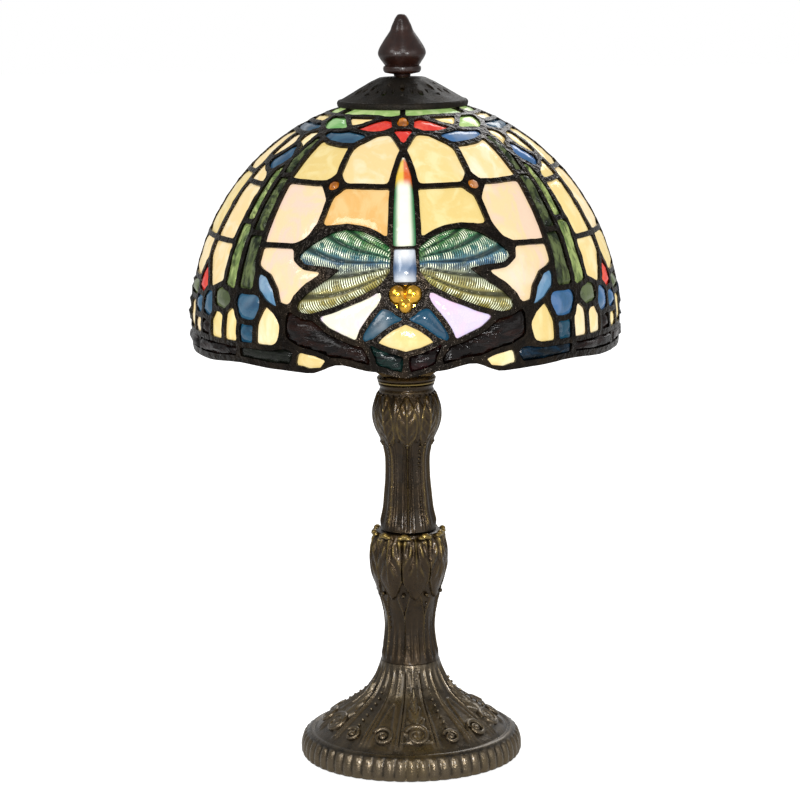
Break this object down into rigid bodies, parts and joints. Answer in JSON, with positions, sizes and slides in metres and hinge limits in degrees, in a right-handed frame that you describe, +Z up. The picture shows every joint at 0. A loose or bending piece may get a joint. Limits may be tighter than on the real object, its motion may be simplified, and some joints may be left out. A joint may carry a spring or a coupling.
{
  "type": "stained glass table lamp",
  "caption": "Small table lamp with a domed leaded glass shade of dragonflies and flowers, a pierced cap and finial, on a cast bronze-toned column with a round fluted foot.",
  "frame": {"origin": "centre of the underside, on the surface that the lamp stands on", "axes": "+Z up along the column; the front, with the front dragonfly, faces -Y; +X is to the right seen from the front"},
  "size_m": [0.2032, 0.2032, 0.3584],
  "materials": {
    "bronze": "cast metal, painted dark bronze with worn golden high spots, semi-gloss",
    "aged_brass": "dull aged brass",
    "brass": "plain satin brass",
    "steel": "plain steel",
    "aluminium": "spun aluminium",
    "lead": "lead and solder, dark patina, lumpy and glossy",
    "cap_metal": "spun and pierced metal, dark patina, semi-gloss",
    "finial_metal": "cast metal, very dark brown gloss enamel",
    "black_resin": "black moulded resin",
    "rubber": "black rubber",
    "felt": "green felt",
    "frosted_glass": "frosted bulb glass",
    "clear_glass": "clear glass stem with its filament",
    "cream_glass": "opalescent cream art glass with warm streaks",
    "green_glass": "opalescent light green art glass",
    "dark_green_glass": "textured dark green art glass",
    "blue_glass": "mottled blue art glass, with cream, olive and red pieces",
    "brown_glass": "streaky dark brown art glass",
    "wing_glass": "pressed iridescent glass with ribs and veins",
    "body_glass": "iridescent white-green glass with an amber head"
  },
  "bodies": {
    "base": {"felt_pad": "felt", "foot": "bronze", "cord_grommet": "rubber", "base_nut": "brass", "base_washer": "steel", "threaded_pipe": "brass", "lower_column": "bronze", "upper_column": "bronze", "column_top_ring": "aged_brass", "harp_saddle": "brass", "locknut": "brass", "socket_cap": "brass", "socket_shell": "brass", "socket_interior": "black_resin", "screw_shell": "aluminium", "centre_contact": "brass"},
    "harp": {"harp_loop": "brass", "harp_stud": "brass"},
    "sleeve_left": {"harp_sleeve_left": "brass"},
    "sleeve_right": {"harp_sleeve_right": "brass"},
    "knob": {"switch_knob": "black_resin"},
    "bulb": {"bulb_cap": "aluminium", "bulb_glass": "frosted_glass", "bulb_stem": "clear_glass"},
    "finial": {"finial": "finial_metal"},
    "shade": {"border_glass_left": "brown_glass", "border_glass_right": "brown_glass", "branch_glass_back": "brown_glass", "branch_glass_front": "brown_glass", "crown_glass_back_left": "green_glass", "crown_glass_back_right": "green_glass", "crown_glass_front_left": "green_glass", "crown_glass_front_right": "green_glass", "dragonfly_body_back": "body_glass", "dragonfly_body_front": "body_glass", "flower_glass_left": "blue_glass", "flower_glass_right": "blue_glass", "lower_field_back": "cream_glass", "lower_field_front": "cream_glass", "middle_field_back_left": "cream_glass", "middle_field_back_right": "cream_glass", "middle_field_front_left": "cream_glass", "middle_field_front_right": "cream_glass", "shade_cap": "cap_metal", "shade_leading": "lead", "side_field_left": "cream_glass", "side_field_right": "cream_glass", "stem_glass_back_left": "dark_green_glass", "stem_glass_back_right": "dark_green_glass", "stem_glass_front_left": "dark_green_glass", "stem_glass_front_right": "dark_green_glass", "upper_field_back_left": "cream_glass", "upper_field_back_right": "cream_glass", "upper_field_front_left": "cream_glass", "upper_field_front_right": "cream_glass", "wing_back_left": "wing_glass", "wing_back_right": "wing_glass", "wing_front_left": "wing_glass", "wing_front_right": "wing_glass"}
  },
  "joints": [
    {"name": "harp_lift", "type": "slide", "parent": "base", "child": "harp", "axis": [0, 0, 1], "range_m": [0, 0.02]},
    {"name": "shade_turn", "type": "hinge", "parent": "harp", "child": "shade", "pos_m": [0, 0, 0.328], "axis": [0, 0, 1], "continuous": true},
    {"name": "finial_turn", "type": "hinge", "parent": "harp", "child": "finial", "pos_m": [0, 0, 0.335], "axis": [0, 0, 1], "continuous": true},
    {"name": "sleeve_left_lift", "type": "slide", "parent": "harp", "child": "sleeve_left", "axis": [0, 0, 1], "range_m": [0, 0.014]},
    {"name": "sleeve_right_lift", "type": "slide", "parent": "harp", "child": "sleeve_right", "axis": [0, 0, 1], "range_m": [0, 0.014]},
    {"name": "switch_knob_turn", "type": "hinge", "parent": "base", "child": "knob", "pos_m": [0, 0.024, 0.2133], "axis": [0, 1, 0], "continuous": true},
    {"name": "bulb_turn", "type": "hinge", "parent": "base", "child": "bulb", "pos_m": [0, 0, 0.235], "axis": [0, 0, 1], "continuous": true}
  ]
}
